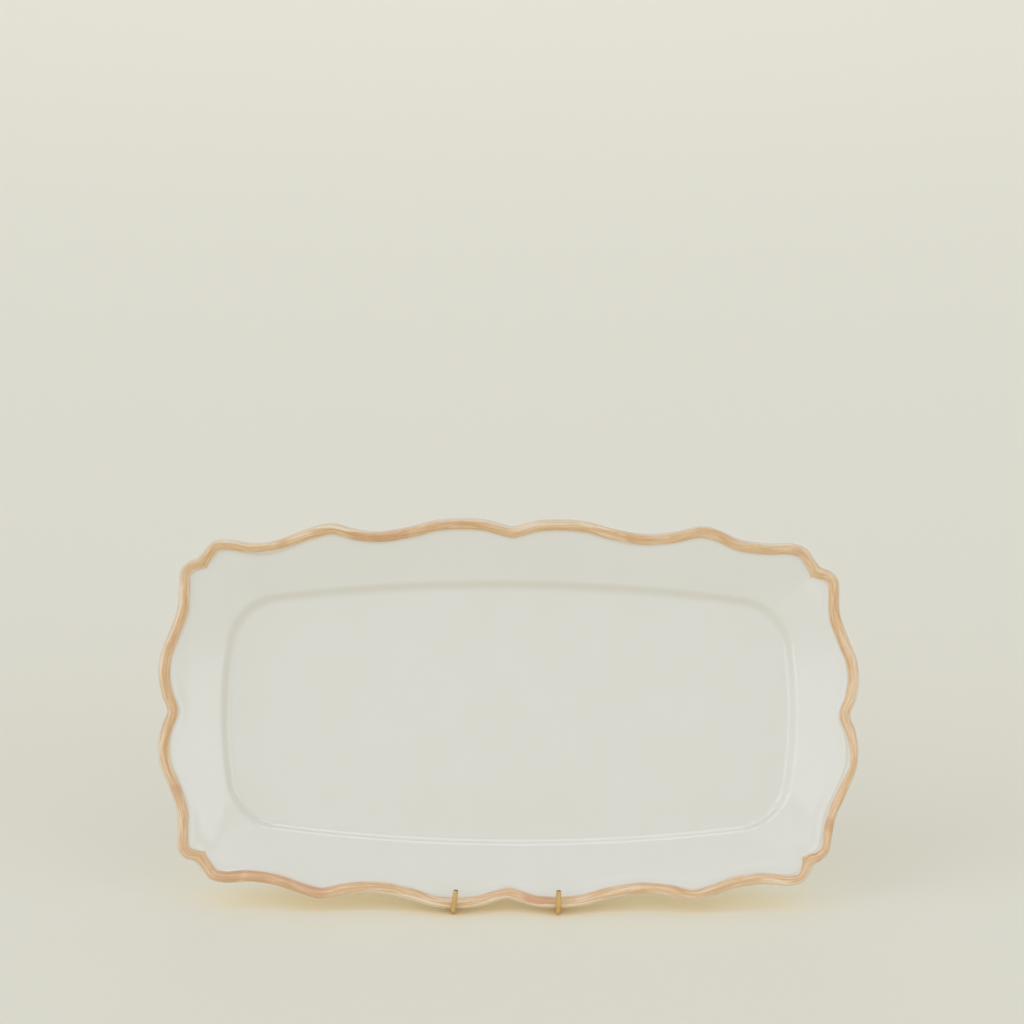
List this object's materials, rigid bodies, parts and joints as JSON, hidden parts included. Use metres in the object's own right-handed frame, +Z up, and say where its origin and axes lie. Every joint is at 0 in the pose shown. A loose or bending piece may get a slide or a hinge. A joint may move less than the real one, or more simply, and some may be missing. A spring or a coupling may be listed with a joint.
{
  "type": "serving platter on a plate stand",
  "caption": "Scalloped rectangular china platter with a coloured raised rim, standing on a folding brass rod plate stand.",
  "frame": {"origin": "on the table, under the middle of the whole object's box", "axes": "+X along the platter's length, -Y the way the platter faces, +Z up"},
  "size_m": [0.4068, 0.1274, 0.2204],
  "materials": {
    "white_glaze": "glossy",
    "tan_glaze": "glossy",
    "polished_brass": "polished"
  },
  "bodies": {
    "stand": {"front_frame": "polished_brass", "pivot_bar": "polished_brass", "lower_brace": "polished_brass"},
    "platter": {"platter_body": "white_glaze", "rim_glaze": "tan_glaze"},
    "rear_leg": {"rear_leg": "polished_brass", "left_hinge_sleeve": "polished_brass", "right_hinge_sleeve": "polished_brass"}
  },
  "joints": [
    {"name": "platter_lift", "type": "slide", "parent": "stand", "child": "platter", "axis": [0, 0, 1], "range_m": [0, 0.25]},
    {"name": "rear_leg_fold", "type": "hinge", "parent": "stand", "child": "rear_leg", "pos_m": [-0.0012, 0.01373, 0.15709], "axis": [-1, 0, 0], "range_deg": [0, 31]}
  ]
}
